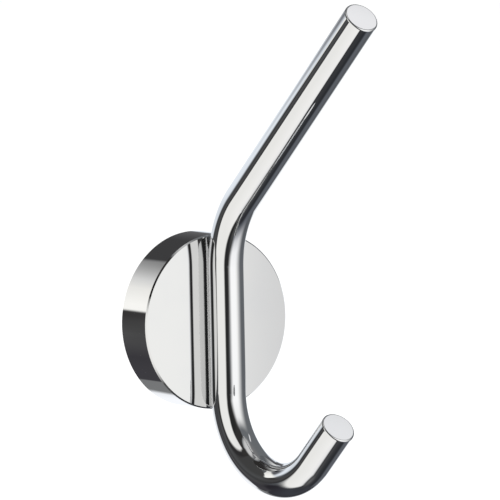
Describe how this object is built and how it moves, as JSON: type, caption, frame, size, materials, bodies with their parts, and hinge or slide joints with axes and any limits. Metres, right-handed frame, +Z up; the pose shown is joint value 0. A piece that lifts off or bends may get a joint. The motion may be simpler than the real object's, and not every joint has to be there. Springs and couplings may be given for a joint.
{
  "type": "robe hook",
  "caption": "Wall-mounted robe hook: a bent round bar with a long upper arm and a short lower hook on a round rose that hides its wall plate.",
  "frame": {"origin": "centre of the rose's wall face", "axes": "+Z up, +Y into the wall, so the hook stands out along -Y; X = 0 is the plane that the bar is bent in"},
  "size_m": [0.05, 0.0843, 0.1415],
  "materials": {
    "polished_chrome": "mirror-polished chrome plate on brass",
    "zinc_plate": "zinc die casting, dull grey",
    "screw_steel": "zinc-plated steel",
    "grub_steel": "stainless steel"
  },
  "bodies": {
    "root": {"hook_rod": "polished_chrome", "rose": "polished_chrome", "wall_plate": "zinc_plate", "rod_screws": "screw_steel", "grub_screw": "grub_steel"}
  },
  "joints": []
}
